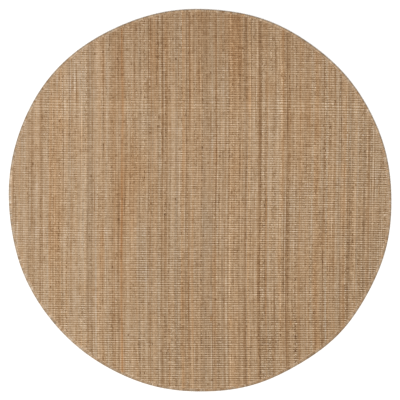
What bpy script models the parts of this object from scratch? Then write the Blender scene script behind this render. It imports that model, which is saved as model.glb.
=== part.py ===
"""Round flatwoven jute rug, lying flat on the floor.

The rug is one heavy cloth of jute yarn, woven in ribs, cut to a circle and overcast round its rim.
The yarns run along Y. They dip between the ribs, which run along X and are raised in the cloth's upper face.
The rim of the cloth is beaten thinner, and the overcast edge is wrapped over and under it.

Metres, +Z up. The origin is on the floor, at the middle of the rug's bounding box.
"""

import math
from collections import namedtuple

import bmesh
import bpy

# Driving dimensions.
DIAMETER = 2.0  # mean width over the overcast edge
THICKNESS = 0.009  # floor to the crest of a rib
RIB_PITCH = 0.01181  # from one groove to the next, along Y
RIB_RELIEF = 0.0024  # a crest's height over its groove
RIB_SKEW = 0.0066  # the weave is a little askew: how far a rib falls towards -Y for each metre towards +X
RIB_FAN = 0.0060  # how much more askew it is for each metre towards +Y
MIDDLE_CREST = 0.0058  # how far the middle rib's crest lies from the rug's middle, along Y
LOOSE_START = 39  # the first of a few ribs that are woven more loosely, counted north from the middle one
LOOSE_COUNT = 4  # how many they are
LOOSE_GAIN = 0.0098  # how much wider they are than as many others

EDGE_WIDTH = 0.013  # of the overcast edge, as seen from above
EDGE_HEIGHT = 0.0082  # floor to the top of the overcast edge
WRAP_THICKNESS = 0.0019  # of the yarn wrapped over and under the cloth's rim
NOSE_DEPTH = 0.0038  # from the cloth's rim out to the rug's outline
CLEARANCE = 0.0003  # between the cloth and the yarn wrapped round it

# The hand-cut outline is not a true circle. Each row is a wave round it. Its crest points that way from +X.
Wave = namedtuple("Wave", "lobes height crest_deg")
OUTLINE_WAVES = (
    Wave(lobes=2, height=0.0040, crest_deg=140.6),
    Wave(lobes=3, height=0.0023, crest_deg=27.7),
    Wave(lobes=4, height=0.0023, crest_deg=51.5),
    Wave(lobes=5, height=0.0010, crest_deg=-0.9),
    Wave(lobes=6, height=0.0011, crest_deg=24.0),
    Wave(lobes=10, height=0.0010, crest_deg=29.1),
    Wave(lobes=12, height=0.0009, crest_deg=15.3),
    Wave(lobes=13, height=0.0007, crest_deg=11.3),
)

# How finely the shapes are divided.
OUTLINE_POINTS = 240
NOSE_POINTS = 5  # round the outer side of the overcast edge
RIB_ROWS = (0.0, 0.2, 0.5, 0.8)  # rows of points over one rib, as shares of its pitch from its groove
CUTTER_OVERLAP = 0.01  # how far the cutter reaches past the cloth's faces

JUTE = (0.42, 0.27, 0.155, 1.0)
EDGE_YARN = (0.45, 0.31, 0.19, 1.0)


def clear_scene():
    for obj in list(bpy.data.objects):
        bpy.data.objects.remove(obj, do_unlink=True)


def make_collection(name):
    collection = bpy.data.collections.new(name)
    bpy.context.scene.collection.children.link(collection)
    return collection


def make_material(name, color, roughness):
    material = bpy.data.materials.new(name)
    material.use_nodes = True
    shader = material.node_tree.nodes["Principled BSDF"]
    shader.inputs["Base Color"].default_value = color
    shader.inputs["Roughness"].default_value = roughness
    shader.inputs["Metallic"].default_value = 0.0
    material.diffuse_color = color
    return material


def outline_radius(angle):
    """The rug's radius in that direction, before the outline is centred."""
    waves = sum(w.height * math.cos(w.lobes * (angle - math.radians(w.crest_deg))) for w in OUTLINE_WAVES)
    return DIAMETER / 2 + waves


def outline(inset):
    """Points round the rug, that far in from its outline. The rug's bounding box is centred on the origin."""
    angles = [2 * math.pi * i / OUTLINE_POINTS for i in range(OUTLINE_POINTS)]
    rim = [(outline_radius(a) * math.cos(a), outline_radius(a) * math.sin(a)) for a in angles]
    middle = [(min(p[axis] for p in rim) + max(p[axis] for p in rim)) / 2 for axis in (0, 1)]
    return [
        (x - inset * math.cos(a) - middle[0], y - inset * math.sin(a) - middle[1])
        for (x, y), a in zip(rim, angles)
    ]


def closed_curve(name, points):
    """A flat closed curve through the points, with straight stretches between them."""
    curve = bpy.data.curves.new(name, "CURVE")
    curve.dimensions = "2D"
    spline = curve.splines.new("POLY")
    spline.points.add(len(points) - 1)
    for point, (x, y) in zip(spline.points, points):
        point.co = (x, y, 0.0, 1.0)
    spline.use_cyclic_u = True
    return curve


def outline_slab(name, inset, bottom, top, collection):
    """A slab with the rug's outline, as a hidden helper for a Boolean."""
    curve = closed_curve(name + "_outline", outline(inset))
    curve.fill_mode = "BOTH"
    curve.extrude = (top - bottom) / 2
    flat = bpy.data.objects.new(name + "_flat", curve)
    collection.objects.link(flat)
    flat.location.z = (top + bottom) / 2
    bpy.context.view_layer.update()
    mesh = bpy.data.meshes.new_from_object(flat.evaluated_get(bpy.context.evaluated_depsgraph_get()))
    slab = bpy.data.objects.new(name, mesh)
    slab.matrix_world = flat.matrix_world
    bpy.data.objects.remove(flat)
    weld(mesh)
    return hide(slab, collection)


def weld(mesh):
    """Joins an extruded outline's caps to its walls."""
    work = bmesh.new()
    work.from_mesh(mesh)
    bmesh.ops.remove_doubles(work, verts=work.verts, dist=0.00001)
    bmesh.ops.recalc_face_normals(work, faces=work.faces)
    work.to_mesh(mesh)
    work.free()


def hide(helper, collection):
    if helper.name not in collection.objects:
        collection.objects.link(helper)
    helper.hide_render = True
    helper.display_type = "WIRE"
    return helper


def rib_height(share):
    """The height of the cloth's upper face, that share of the way from one groove to the next.

    A rib has a round top between sharp grooves.
    """
    arch = math.sqrt(1.0 - (2.0 * share - 1.0) ** 2)
    return THICKNESS - RIB_RELIEF * (1.0 - arch)


def rib_place(count):
    """Where on Y that many ribs north of the middle rib's southern groove is, at x = 0."""
    loose = min(1.0, max(0.0, (count - LOOSE_START) / LOOSE_COUNT))
    return MIDDLE_CREST + (count - 0.5) * RIB_PITCH + loose * LOOSE_GAIN


def ribbed_slab(name):
    """A square of ribbed cloth, wider than the rug, with points at each rib's groove, shoulders and crest."""
    ribs = math.ceil(DIAMETER / 2 / RIB_PITCH) + 2
    half_width = ribs * RIB_PITCH
    rows = [(rib, share) for rib in range(-ribs, ribs) for share in RIB_ROWS]
    work = bmesh.new()
    bmesh.ops.create_grid(work, x_segments=1, y_segments=len(rows) - 1, size=1.0)
    by_row = sorted(work.verts, key=lambda v: v.co.y)
    for index, vertex in enumerate(by_row):
        rib, share = rows[index // 2]
        x = math.copysign(half_width, vertex.co.x)
        y = rib_place(rib + share)
        vertex.co = (x, y - (RIB_SKEW + RIB_FAN * y) * x, rib_height(share))
    extruded = bmesh.ops.extrude_face_region(work, geom=list(work.faces))["geom"]
    for vertex in (v for v in extruded if isinstance(v, bmesh.types.BMVert)):
        vertex.co.z = 0.0
    bmesh.ops.triangulate(work, faces=work.faces)
    bmesh.ops.recalc_face_normals(work, faces=work.faces)
    mesh = bpy.data.meshes.new(name)
    work.to_mesh(mesh)
    work.free()
    return bpy.data.objects.new(name, mesh)


def add_boolean(obj, operation, other):
    modifier = obj.modifiers.new(operation.title(), "BOOLEAN")
    modifier.operation = operation
    modifier.solver = "EXACT"
    modifier.object = other


def make_cloth(rug, helpers):
    """The woven cloth: the ribbed field inside the overcast edge, and the thin rim that the edge holds."""
    cloth = ribbed_slab("woven_cloth")
    rug.objects.link(cloth)
    field = outline_slab(
        "field_cutter", EDGE_WIDTH + CLEARANCE, -CUTTER_OVERLAP, THICKNESS + CUTTER_OVERLAP, helpers
    )
    wrapped = WRAP_THICKNESS + CLEARANCE
    rim = outline_slab(
        "thin_rim", NOSE_DEPTH + CLEARANCE, wrapped, EDGE_HEIGHT - wrapped, helpers
    )
    add_boolean(cloth, "INTERSECT", field)
    add_boolean(cloth, "UNION", rim)
    cloth.data.materials.append(make_material("woven_jute", JUTE, 0.9))
    return cloth


def edge_profile():
    """The section of the overcast edge: its first axis runs inwards from the rug's outline, its second is up.

    A round nose outside, and a slot for the cloth's rim that is open inwards.
    """
    middle = EDGE_HEIGHT / 2
    turns = [math.pi * (i / (NOSE_POINTS - 1) - 0.5) for i in range(NOSE_POINTS)]
    nose = [(NOSE_DEPTH * (1.0 - math.cos(turn)), middle * (1.0 + math.sin(turn))) for turn in turns]
    return nose + [
        (EDGE_WIDTH, EDGE_HEIGHT),
        (EDGE_WIDTH, EDGE_HEIGHT - WRAP_THICKNESS),
        (NOSE_DEPTH, EDGE_HEIGHT - WRAP_THICKNESS),
        (NOSE_DEPTH, WRAP_THICKNESS),
        (EDGE_WIDTH, WRAP_THICKNESS),
        (EDGE_WIDTH, 0.0),
    ]


def make_edge(rug, helpers):
    """The overcast edge, its section carried round the outline."""
    profile = bpy.data.objects.new("edge_section", closed_curve("edge_section", edge_profile()))
    hide(profile, helpers)
    curve = closed_curve("overcast_edge", outline(0.0))
    curve.bevel_mode = "OBJECT"
    curve.bevel_object = profile
    edge = bpy.data.objects.new("overcast_edge", curve)
    rug.objects.link(edge)
    curve.materials.append(make_material("overcast_yarn", EDGE_YARN, 0.85))
    return edge


def main():
    clear_scene()
    rug = make_collection("round_jute_rug")
    helpers = make_collection("helpers")
    make_cloth(rug, helpers)
    make_edge(rug, helpers)


main()
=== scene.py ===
"""The looks of a round flatwoven jute rug: its yarns, its ribs and its overcast edge.

Metres, +Z up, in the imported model's own frame: the floor is at z = 0, and the rug's middle is on the Z axis.
The yarns run along Y and arch over the ribs, which run along X.
"""

import logging
import math
from dataclasses import dataclass, field
from enum import Enum
from typing import Any, Callable, Sequence, Union

import bpy
import numpy as np
from mathutils import Euler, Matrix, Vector

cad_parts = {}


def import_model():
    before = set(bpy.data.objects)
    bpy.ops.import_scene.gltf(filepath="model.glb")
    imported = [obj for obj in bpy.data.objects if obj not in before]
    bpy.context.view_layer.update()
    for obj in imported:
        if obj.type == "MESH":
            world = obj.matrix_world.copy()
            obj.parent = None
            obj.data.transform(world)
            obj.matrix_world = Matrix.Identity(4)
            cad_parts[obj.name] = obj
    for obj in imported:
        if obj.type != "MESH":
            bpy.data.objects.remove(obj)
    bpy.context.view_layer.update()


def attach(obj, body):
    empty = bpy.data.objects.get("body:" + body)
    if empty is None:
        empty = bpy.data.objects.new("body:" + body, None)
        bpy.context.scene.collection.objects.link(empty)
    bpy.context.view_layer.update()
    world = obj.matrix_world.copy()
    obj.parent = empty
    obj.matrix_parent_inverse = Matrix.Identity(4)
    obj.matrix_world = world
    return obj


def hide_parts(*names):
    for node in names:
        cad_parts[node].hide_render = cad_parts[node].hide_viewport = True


BODY = "root"
FULL_TURN = 2.0 * math.pi
AXES = 3
NOISE_MEAN = 0.5  # of Blender's noise, which runs from 0 to 1
GRID_REACH = 0.5  # how far Blender's grid of points reaches each way from its middle
SKEW_SHAPE = 4.0  # a gamma distribution's skew, squared, times its shape

log = logging.getLogger("round_jute_rug")

Value = Union["Term", float, int]
Colour = tuple[float, float, float]


def operator(operation: str, turned: bool = False) -> Callable[["Term", Value], "Term"]:
    """Makes one of the operators that join terms.

    Args:
        operation: Blender's name for the operation.
        turned: whether the term stands behind the operator.

    Returns:
        The operator.
    """

    def joined(term: "Term", other: Value) -> "Term":
        """Joins the term with another number."""
        values = (other, term) if turned else (term, other)
        return term.nodes.math(operation, *values)

    return joined


@dataclass(frozen=True)
class Term:
    """A number in a node tree. Sums and products of terms add Math nodes to that tree."""

    nodes: "Nodes"
    socket: bpy.types.NodeSocket

    __add__ = operator("ADD")
    __sub__ = operator("SUBTRACT")
    __rsub__ = operator("SUBTRACT", turned=True)
    __mul__ = operator("MULTIPLY")
    __truediv__ = operator("DIVIDE")


@dataclass(frozen=True)
class Nodes:
    """Adds nodes to one tree, of a shape or of a finish."""

    tree: bpy.types.NodeTree

    def add(self, kind: str, **settings: Any) -> bpy.types.Node:
        """Adds one node.

        Args:
            kind: Blender's own name for the kind of node.
            **settings: its settings, in small letters, and its inputs, with a capital and _ for a space.

        Returns:
            The node.
        """
        node = self.tree.nodes.new(kind)
        for name, value in settings.items():
            if name.islower():
                setattr(node, name, value)
        self.feed_inputs(node, **{name: value for name, value in settings.items() if not name.islower()})
        return node

    def feed(self, socket: bpy.types.NodeSocket, value: Any) -> None:
        """Links a term or another node's socket to a socket, or sets a plain value on it.

        Args:
            socket: the socket that takes the value.
            value: a term, a socket or a plain value.
        """
        source = value.socket if isinstance(value, Term) else value
        if isinstance(source, bpy.types.NodeSocket):
            self.tree.links.new(source, socket)
        else:
            socket.default_value = source

    def feed_inputs(self, node: bpy.types.Node, **values: Any) -> None:
        """Feeds a node's inputs, which are named with _ for a space."""
        for name, value in values.items():
            self.feed(node.inputs[name.replace("_", " ")], value)

    def join(self, kind: str, values: Sequence[Any], **settings: str) -> bpy.types.NodeSocket:
        """Adds a node that joins numbers.

        Args:
            kind: Blender's own name for the kind of node.
            values: the numbers, in the order of its inputs.
            **settings: its settings.

        Returns:
            The socket that gives its result.
        """
        node = self.add(kind, **settings)
        for socket, value in zip(node.inputs, values):
            self.feed(socket, value)
        return node.outputs[0]

    def math(self, operation: str, *values: Value) -> Term:
        """What an operation makes of these numbers."""
        return Term(self, self.join("ShaderNodeMath", values, operation=operation))

    def vector(self, x: Value = 0.0, y: Value = 0.0, z: Value = 0.0) -> bpy.types.NodeSocket:
        """A vector of three numbers."""
        return self.join("ShaderNodeCombineXYZ", (x, y, z))

    def parts(self, vector: bpy.types.NodeSocket) -> tuple[Term, Term, Term]:
        """The three numbers of a vector."""
        node = self.add("ShaderNodeSeparateXYZ", Vector=vector)
        return tuple(Term(self, socket) for socket in node.outputs)

    def within(self, value: Term, lowest: float, highest: float) -> Term:
        """A number that is kept between two others."""
        return self.math("MAXIMUM", self.math("MINIMUM", value, highest), lowest)

    def centred(self, share: Term) -> Term:
        """A number from 0 to 1 as one from -1 to 1."""
        return share * 2.0 - 1.0

    def noise(self, place: bpy.types.NodeSocket, detail: float = 0.0) -> Term:
        """Smooth noise from about -0.25 to 0.25, one swell to each unit of its place, with finer layers."""
        settings = {"noise_dimensions": "3D", "Vector": place, "Scale": 1.0, "Detail": detail}
        return Term(self, self.add("ShaderNodeTexNoise", **settings).outputs[0]) - NOISE_MEAN

    def chance(self, place: bpy.types.NodeSocket) -> Term:
        """A random number from -1 to 1 that is the same wherever the place is."""
        node = self.add("ShaderNodeTexWhiteNoise", noise_dimensions="3D", Vector=place)
        return self.centred(Term(self, node.outputs["Value"]))


@dataclass(frozen=True)
class ShapeNodes(Nodes):
    """A tree of Geometry Nodes with named inputs, and the value that each run gives to each of them."""

    values: dict[str, Any] = field(default_factory=dict)

    def __post_init__(self) -> None:
        """Lets the empty tree take one geometry and give one."""
        for way in ("Input", "Output"):
            self.tree.nodes.new("NodeGroup" + way)
            self.tree.interface.new_socket("Geometry", in_out=way.upper(), socket_type="NodeSocketGeometry")

    def taken(self, name: str = "Geometry") -> bpy.types.NodeSocket:
        """The socket that gives one of the tree's inputs."""
        return self.tree.nodes["Group Input"].outputs[name]

    def named(self, name: str, value: Any) -> Any:
        """Adds a named input to the tree.

        Args:
            name: the input's name.
            value: the number, object or material that each run gives to it.

        Returns:
            A term for a number, or else the socket.
        """
        kinds = {int: "Int", float: "Float", bpy.types.Object: "Object", bpy.types.Material: "Material"}
        kind = "NodeSocket" + kinds[type(value)]
        self.tree.interface.new_socket(name, in_out="INPUT", socket_type=kind)
        self.values[name] = value
        socket = self.taken(name)
        return Term(self, socket) if isinstance(value, (int, float)) else socket

    def step(self, kind: str, geometry: bpy.types.NodeSocket, **settings: Any) -> bpy.types.NodeSocket:
        """Adds a node that changes a geometry.

        Args:
            kind: Blender's own name for the kind of node.
            geometry: the socket that gives the geometry.
            **settings: the node's settings, in small letters, and its other inputs, with a capital.

        Returns:
            The socket that gives the changed geometry.
        """
        node = self.add("GeometryNode" + kind, **settings)
        self.feed(node.inputs[0], geometry)
        return node.outputs[0]

    def keep(self, geometry: bpy.types.NodeSocket, name: str, value: Any, **settings: str) -> Any:
        """Stores a value under a name, as a number on each point if the settings don't say otherwise."""
        kind = {"data_type": "FLOAT", "domain": "POINT", **settings}
        return self.step("StoreNamedAttribute", geometry, Name=name, Value=value, **kind)

    def kept(self, name: str, data_type: str = "FLOAT") -> Term:
        """What was stored under that name."""
        node = self.add("GeometryNodeInputNamedAttribute", data_type=data_type, Name=name)
        return Term(self, node.outputs[0])

    def place(self) -> tuple[Term, Term, Term]:
        """Each point's own place."""
        return self.parts(self.add("GeometryNodeInputPosition").outputs[0])

    def finish(self, geometry: bpy.types.NodeSocket, material: bpy.types.Material) -> None:
        """Shades a geometry smooth, makes it one mesh, gives it its material and ends the tree with it.

        Args:
            geometry: the socket that gives the geometry.
            material: the material.
        """
        smooth = self.step("SetShadeSmooth", geometry)
        whole = self.step("RealizeInstances", smooth)
        dressed = self.step("SetMaterial", whole, Material=self.named("Finish", material))
        self.feed(self.tree.nodes["Group Output"].inputs[0], dressed)

    def run(self, piece: bpy.types.Object) -> None:
        """Runs the tree on an object and leaves the result there as a plain mesh.

        Args:
            piece: the object that holds the tree's starting shape.
        """
        modifier = piece.modifiers.new("Shape", "NODES")
        modifier.node_group = self.tree
        for item in self.tree.interface.items_tree:
            if item.name in self.values:
                modifier[item.identifier] = self.values[item.name]
        bpy.context.view_layer.update()
        made = piece.evaluated_get(bpy.context.evaluated_depsgraph_get())
        mesh = bpy.data.meshes.new_from_object(made)
        piece.modifiers.clear()
        piece.data = mesh
        mesh.name = piece.name


@dataclass(frozen=True)
class Wave:
    """One wave round the hand-cut outline. Its crest points that way from +X."""

    lobes: int
    height: float
    crest_deg: float


@dataclass(frozen=True)
class Outline:
    """The rug's outline, which is nearly a circle."""

    diameter: float = 2.0
    corners: int = 240
    waves: tuple[Wave, ...] = (
        Wave(lobes=2, height=0.0040, crest_deg=140.6),
        Wave(lobes=3, height=0.0023, crest_deg=27.7),
        Wave(lobes=4, height=0.0023, crest_deg=51.5),
        Wave(lobes=5, height=0.0010, crest_deg=-0.9),
        Wave(lobes=6, height=0.0011, crest_deg=24.0),
        Wave(lobes=10, height=0.0010, crest_deg=29.1),
        Wave(lobes=12, height=0.0009, crest_deg=15.3),
        Wave(lobes=13, height=0.0007, crest_deg=11.3),
    )

    def rim(self) -> np.ndarray:
        """The outline's corners, before its bounding box is centred on the origin.

        Returns:
            One row of x and y for each corner.
        """
        angles = self.angles()
        radii = np.full(self.corners, self.diameter / 2)
        for wave in self.waves:
            radii += wave.height * np.cos(wave.lobes * (angles - math.radians(wave.crest_deg)))
        return radii[:, None] * self.directions()

    def angles(self) -> np.ndarray:
        """The angle of each corner from +X."""
        return FULL_TURN * np.arange(self.corners) / self.corners

    def directions(self) -> np.ndarray:
        """The way to each corner from the middle, as x and y."""
        return np.stack([np.cos(self.angles()), np.sin(self.angles())], axis=1)

    def middle(self) -> np.ndarray:
        """Where the middle of the bounding box is, before it is centred on the origin."""
        return (self.rim().min(axis=0) + self.rim().max(axis=0)) / 2

    def inset(self, distance: float) -> np.ndarray:
        """The corners of a line that runs that far inside the outline, as rows of x and y."""
        return self.rim() - distance * self.directions() - self.middle()


@dataclass(frozen=True)
class Trend:
    """One term of a slow change over the rug: a size, times the places on X and on Y to these powers."""

    size: float
    east_power: int = 0
    north_power: int = 0


def total_trend(trends: Sequence[Trend], x: Any, y: Any) -> Any:
    """Adds up the terms of a slow change.

    Args:
        trends: the terms.
        x: the place on X, as a term of a tree or as an array.
        y: the place on Y, likewise.

    Returns:
        The change there, likewise.
    """
    total: Any = 0.0
    for trend in trends:
        change: Any = trend.size
        for factor in [x] * trend.east_power + [y] * trend.north_power:
            change = factor * change
        total = change + total
    return total


@dataclass(frozen=True)
class Weave:
    """The ribs of the cloth. They are a little askew, fan out, and a few of them lie more loosely."""

    top: float = 0.009
    pitch: float = 0.01181
    relief: float = 0.0024
    skew: float = 0.0066
    fan: float = 0.0060
    middle_crest: float = 0.0058
    loose_start: int = 39
    loose_count: int = 4
    loose_gain: float = 0.0098
    half_count: int = 87
    rib_sways: tuple[Trend, ...] = (
        Trend(0.0034, east_power=1),
        Trend(-0.0074, east_power=3),
        Trend(0.0048, north_power=1),
        Trend(0.0025, north_power=2),
        Trend(-0.0085, north_power=3),
        Trend(-0.0065, east_power=2, north_power=1),
    )
    yarn_sways: tuple[Trend, ...] = (
        Trend(0.0134, north_power=1),
        Trend(0.0017, north_power=2),
        Trend(-0.0289, north_power=3),
        Trend(0.0162, north_power=5),
        Trend(0.0053, east_power=1, north_power=1),
        Trend(-0.0031, east_power=1, north_power=3),
    )

    def ribs(self) -> int:
        """How many ribs there are."""
        return 2 * self.half_count + 1

    def first_groove(self) -> float:
        """Where the southernmost groove crosses the Y axis."""
        return self.middle_crest - self.ribs() * self.pitch / 2

    def crests(self) -> np.ndarray:
        """Where the ribs' crests cross the Y axis, and where one more would.

        Returns:
            One number for each rib, from the south.
        """
        counts = np.arange(self.ribs() + 1)
        loose = np.clip((counts - self.half_count - self.loose_start) / self.loose_count, 0.0, 1.0)
        return self.first_groove() + (2 * counts + 1) * self.pitch / 2 + loose * self.loose_gain


class Tone(Enum):
    """How a dyed or weathered stretch of yarn departs from the mean: how much paler and how much warmer."""

    DARK = (-0.75, 0.01)
    BROWN = (-0.45, 0.04)
    RUST = (-0.30, 0.10)
    GOLDEN = (0.02, 0.10)
    STRAW = (0.40, 0.04)
    PALE = (0.45, -0.02)
    GREY = (0.36, -0.06)
    ASH = (-0.08, -0.07)
    OLIVE = (-0.40, -0.03)


@dataclass(frozen=True)
class Streak:
    """A band of yarns of one tone: its place on X, its width, and its ends on Y."""

    place: float
    width: float
    tone: Tone
    strength: float = 1.0
    south: float = -1.0
    north: float = 1.0


STREAKS = (
    Streak(-0.740, 0.520, Tone.PALE, 0.32),
    Streak(-0.900, 0.080, Tone.RUST, 0.3),
    Streak(-0.820, 0.080, Tone.RUST, 0.2),
    Streak(-0.510, 0.080, Tone.PALE, 0.2),
    Streak(-0.190, 0.080, Tone.OLIVE, 0.2),
    Streak(0.040, 0.080, Tone.OLIVE, 0.5),
    Streak(0.390, 0.150, Tone.GREY, 0.4),
    Streak(0.860, 0.200, Tone.ASH, 0.3),
    Streak(-0.962, 0.004, Tone.RUST, 0.2, south=-0.30, north=0.16),
    Streak(-0.911, 0.0055, Tone.PALE, 0.8, south=-0.30, north=0.30),
    Streak(-0.876, 0.0055, Tone.DARK, 0.8, south=-0.15),
    Streak(-0.846, 0.004, Tone.PALE, 0.7),
    Streak(-0.832, 0.0055, Tone.BROWN, 0.4),
    Streak(-0.800, 0.0075, Tone.PALE, 1.0),
    Streak(-0.704, 0.0065, Tone.PALE, 1.1),
    Streak(-0.618, 0.0055, Tone.STRAW, 2.2),
    Streak(-0.598, 0.0095, Tone.STRAW, 1.0),
    Streak(-0.582, 0.0065, Tone.OLIVE, 1.7),
    Streak(-0.564, 0.0095, Tone.OLIVE, 1.0),
    Streak(-0.534, 0.004, Tone.PALE, 1.0, south=-0.05),
    Streak(-0.503, 0.004, Tone.BROWN, 2.2),
    Streak(-0.452, 0.0065, Tone.RUST, 0.9),
    Streak(-0.444, 0.004, Tone.BROWN, 1.6),
    Streak(-0.436, 0.004, Tone.PALE, 1.4),
    Streak(-0.425, 0.0095, Tone.OLIVE, 0.9),
    Streak(-0.406, 0.0105, Tone.RUST, 2.0),
    Streak(-0.372, 0.0045, Tone.PALE, 0.6),
    Streak(-0.306, 0.0055, Tone.PALE, 1.4),
    Streak(-0.257, 0.004, Tone.BROWN, 1.7),
    Streak(-0.239, 0.0075, Tone.GOLDEN, 0.8),
    Streak(-0.217, 0.004, Tone.ASH, 0.6),
    Streak(-0.210, 0.004, Tone.PALE, 1.8),
    Streak(-0.198, 0.0065, Tone.DARK, 1.2),
    Streak(-0.174, 0.004, Tone.BROWN, 0.2, south=0.10),
    Streak(-0.148, 0.0095, Tone.PALE, 0.7),
    Streak(-0.123, 0.0115, Tone.ASH, 1.1),
    Streak(-0.091, 0.0115, Tone.GOLDEN, 1.1),
    Streak(-0.083, 0.0055, Tone.BROWN, 2.2, north=-0.25),
    Streak(-0.058, 0.0055, Tone.BROWN, 1.8),
    Streak(-0.043, 0.0065, Tone.PALE, 0.6),
    Streak(0.063, 0.0055, Tone.PALE, 1.3, south=0.00),
    Streak(0.077, 0.0115, Tone.RUST, 0.4, north=-0.10),
    Streak(0.148, 0.004, Tone.BROWN, 0.4, south=-0.20, north=0.55),
    Streak(0.158, 0.0055, Tone.STRAW, 2.1),
    Streak(0.204, 0.0095, Tone.OLIVE, 0.9),
    Streak(0.2385, 0.0075, Tone.BROWN, 1.6),
    Streak(0.254, 0.0055, Tone.STRAW, 1.6),
    Streak(0.289, 0.0065, Tone.PALE, 0.9),
    Streak(0.3105, 0.0075, Tone.DARK, 1.9),
    Streak(0.347, 0.0075, Tone.RUST, 1.0),
    Streak(0.371, 0.0095, Tone.GREY, 0.4),
    Streak(0.389, 0.004, Tone.DARK, 1.6, north=-0.30),
    Streak(0.399, 0.0055, Tone.PALE, 1.2),
    Streak(0.4195, 0.0055, Tone.STRAW, 2.0),
    Streak(0.430, 0.0065, Tone.RUST, 1.4, south=-0.05),
    Streak(0.451, 0.0065, Tone.DARK, 1.5),
    Streak(0.464, 0.0065, Tone.BROWN, 1.3),
    Streak(0.493, 0.0095, Tone.PALE, 0.8),
    Streak(0.519, 0.0085, Tone.RUST, 0.8),
    Streak(0.581, 0.0115, Tone.GREY, 1.0),
    Streak(0.608, 0.0095, Tone.RUST, 0.6),
    Streak(0.641, 0.0065, Tone.DARK, 0.8),
    Streak(0.658, 0.0075, Tone.GREY, 1.9),
    Streak(0.688, 0.0075, Tone.STRAW, 0.6),
    Streak(0.700, 0.0045, Tone.BROWN, 1.0),
    Streak(0.733, 0.0055, Tone.OLIVE, 1.8),
    Streak(0.771, 0.0065, Tone.DARK, 0.6),
    Streak(0.804, 0.0065, Tone.STRAW, 0.7),
    Streak(0.856, 0.0055, Tone.OLIVE, 2.1),
    Streak(0.877, 0.0065, Tone.DARK, 1.1),
    Streak(-0.409, 0.006, Tone.DARK, 1.5, south=-0.302, north=-0.282),
    Streak(-0.195, 0.006, Tone.DARK, 1.5, south=-0.812, north=-0.790),
    Streak(-0.216, 0.006, Tone.DARK, 1.5, south=0.422, north=0.442),
    Streak(0.242, 0.006, Tone.DARK, 1.5, south=0.818, north=0.838),
    Streak(0.477, 0.006, Tone.RUST, 2.5, south=-0.652, north=-0.628),
    Streak(0.060, 0.006, Tone.RUST, 2.5, south=-0.627, north=-0.603),
    Streak(-0.414, 0.006, Tone.RUST, 2.5, south=0.348, north=0.372),
)


@dataclass(frozen=True)
class Jute:
    """The colour of jute: its mean, and what paling, warming and the shade painted into grooves do to its red,
    green and blue.
    """

    mean: Colour
    paling: Colour = (0.411, 0.546, 0.732)
    warming: Colour = (0.763, 0.177, -0.621)
    # painted shade: how the shade painted into a groove changes red, green and blue
    groove_shade_tint: Colour = (-0.389, -0.515, -0.770)

    def colour(self, nodes: Nodes, shade: Value, warmth: Value, depth: Value = 0.0) -> bpy.types.NodeSocket:
        """Works out a colour.

        Args:
            nodes: the finish's nodes.
            shade: how much paler than the mean it is.
            warmth: how much warmer than the mean it is.
            depth: how much shade is painted on it in a groove.

        Returns:
            The socket that gives the colour.
        """
        bands = []
        for mean, pale, warm, groove_tint in zip(self.mean, self.paling, self.warming, self.groove_shade_tint):
            # the last term paints the shade that falls in the grooves into the colour
            change = shade * pale + warmth * warm + depth * groove_tint
            bands.append(nodes.math("EXPONENT", change) * mean)
        return nodes.join("ShaderNodeCombineColor", bands)


@dataclass(frozen=True)
class FinishNodes(Nodes):
    """The nodes of a finish."""

    def kept(self, name: str) -> Term:
        """A number that is stored on the piece's points under that name."""
        return Term(self, self.add("ShaderNodeAttribute", attribute_name=name).outputs["Fac"])

    def place(self) -> tuple[Term, Term, Term]:
        """The place on the piece, in metres."""
        return self.parts(self.add("ShaderNodeTexCoord").outputs["Object"])


@dataclass(frozen=True)
class Surface:
    """What a finish works out for each place: its colour, its fibres and how high its strands stand."""

    colour: bpy.types.NodeSocket
    fibres: Term
    height: Term


@dataclass(frozen=True)
class Finish:
    """What every finish of the rug shares: a matt fibre with a faint sheen, and strands that stand proud."""

    name: str
    strand_height: float
    roughness: float = 0.85
    roughness_spread: float = 0.25
    sheen: float = 0.12
    sheen_roughness: float = 0.6
    specular: float = 0.25
    fibre_detail: float = 2.0

    def make(self) -> bpy.types.Material:
        """Makes the material.

        Returns:
            The material.
        """
        material = bpy.data.materials.new(self.name)
        material.use_nodes = True
        nodes = FinishNodes(material.node_tree)
        surface = self.surface(nodes)
        bump = nodes.add("ShaderNodeBump", Distance=self.strand_height, Height=surface.height)
        nodes.feed_inputs(
            material.node_tree.nodes["Principled BSDF"],
            Base_Color=surface.colour,
            Roughness=surface.fibres * self.roughness_spread + self.roughness,
            Specular_IOR_Level=self.specular,
            Sheen_Weight=self.sheen,
            Sheen_Roughness=self.sheen_roughness,
            Normal=bump.outputs[0],
        )
        return material

    def surface(self, nodes: FinishNodes) -> Surface:
        """Works out the surface from the finish's nodes, which each finish does in its own way."""
        raise NotImplementedError


@dataclass(frozen=True)
class TwistedFinish(Finish):
    """What the two finishes of twisted yarn share, with shade painted into the creases along each strand's
    sides.
    """

    crease_painted_shade: float = -0.35
    fibre_shade: float = 0.9
    twist_shade: float = 0.10
    twist_slope: float = 0.3
    twist_height: float = 0.25
    mean_height: float = 0.5

    def strand(self, nodes: FinishNodes, place: bpy.types.NodeSocket, turns: Term) -> tuple[Term, Term, Term]:
        """Twists the yarn and paints shade into the creases at its sides.

        Args:
            nodes: the finish's nodes.
            place: the socket that gives the place in the fibres.
            turns: how often the yarn's middle has turned.

        Returns:
            How much paler than the mean it is, its fibres, and how high it stands.
        """
        across = nodes.kept("across")
        fibres = nodes.noise(place, self.fibre_detail)
        twist = nodes.math("SINE", (turns + across * self.twist_slope) * FULL_TURN)
        grain = fibres * self.fibre_shade + twist * self.twist_shade
        # painted shade: darker towards the strand's sides, where the creases between strands are
        shade = nodes.kept("shade") + grain + across * across * self.crease_painted_shade
        return shade, fibres, twist * self.twist_height + fibres + self.mean_height


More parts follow.
